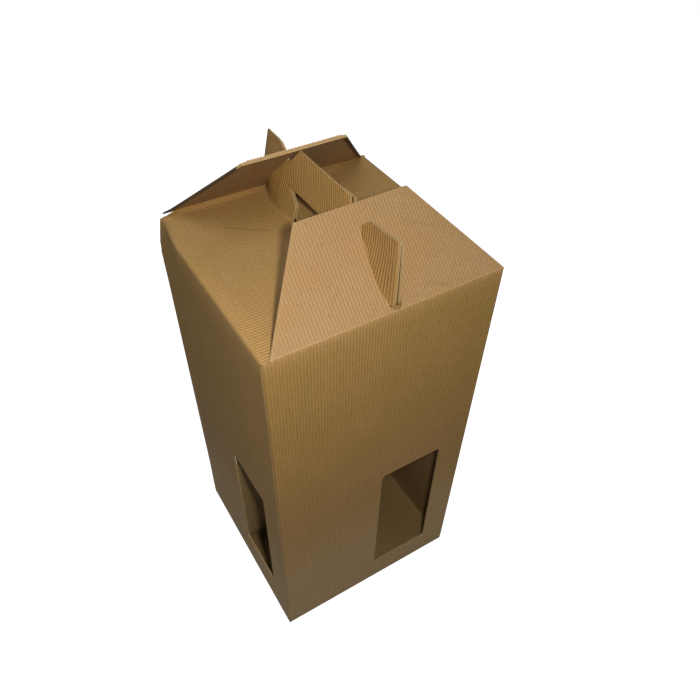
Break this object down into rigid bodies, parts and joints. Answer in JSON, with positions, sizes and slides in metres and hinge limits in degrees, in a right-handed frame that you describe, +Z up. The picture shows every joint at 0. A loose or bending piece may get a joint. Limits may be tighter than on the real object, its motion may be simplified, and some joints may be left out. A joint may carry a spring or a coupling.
{
  "type": "cardboard bottle carrier",
  "caption": "Tall square kraft carton that carries bottles by a double handle through a gabled top, with slotted lock flaps, wall windows and fold-in dividers.",
  "frame": {"origin": "centre of the base, on the surface that the carton stands on", "axes": "+X to the right across the front wall, +Y from the front wall to the back wall, +Z up"},
  "size_m": [0.18, 0.175, 0.4065],
  "materials": {
    "carton_board": "matt brown kraft, ribbed outside and smooth inside",
    "lock_flap_board": "matt brown kraft, ribbed outside and smooth inside",
    "divider_board": "matt brown kraft, ribbed on one side"
  },
  "bodies": {
    "carton_body": {"carton": "carton_board"},
    "front_lock": {"front_lock_flap": "lock_flap_board"},
    "back_lock": {"back_lock_flap": "lock_flap_board"},
    "front_divider": {"front_window_flap": "divider_board"},
    "right_divider": {"right_window_flap": "divider_board"},
    "back_divider": {"back_window_flap": "divider_board"},
    "left_divider": {"left_window_flap": "divider_board"}
  },
  "joints": [
    {"name": "front_lock_crease", "type": "hinge", "parent": "carton_body", "child": "front_lock", "pos_m": [0, -0.0875, 0.353], "axis": [1, 0, 0], "range_deg": [0, 165]},
    {"name": "back_lock_crease", "type": "hinge", "parent": "carton_body", "child": "back_lock", "pos_m": [0, 0.0875, 0.353], "axis": [-1, 0, 0], "range_deg": [0, 165]},
    {"name": "front_divider_crease", "type": "hinge", "parent": "carton_body", "child": "front_divider", "pos_m": [0.0046, -0.086, 0.103], "axis": [0, 0, 1], "range_deg": [-90, 80]},
    {"name": "right_divider_crease", "type": "hinge", "parent": "carton_body", "child": "right_divider", "pos_m": [0.0885, 0.0046, 0.11075], "axis": [0, 0, 1], "range_deg": [-90, 80]},
    {"name": "back_divider_crease", "type": "hinge", "parent": "carton_body", "child": "back_divider", "pos_m": [-0.0046, 0.086, 0.103], "axis": [0, 0, 1], "range_deg": [-90, 80]},
    {"name": "left_divider_crease", "type": "hinge", "parent": "carton_body", "child": "left_divider", "pos_m": [-0.0885, -0.0046, 0.11075], "axis": [0, 0, 1], "range_deg": [-90, 80]}
  ]
}
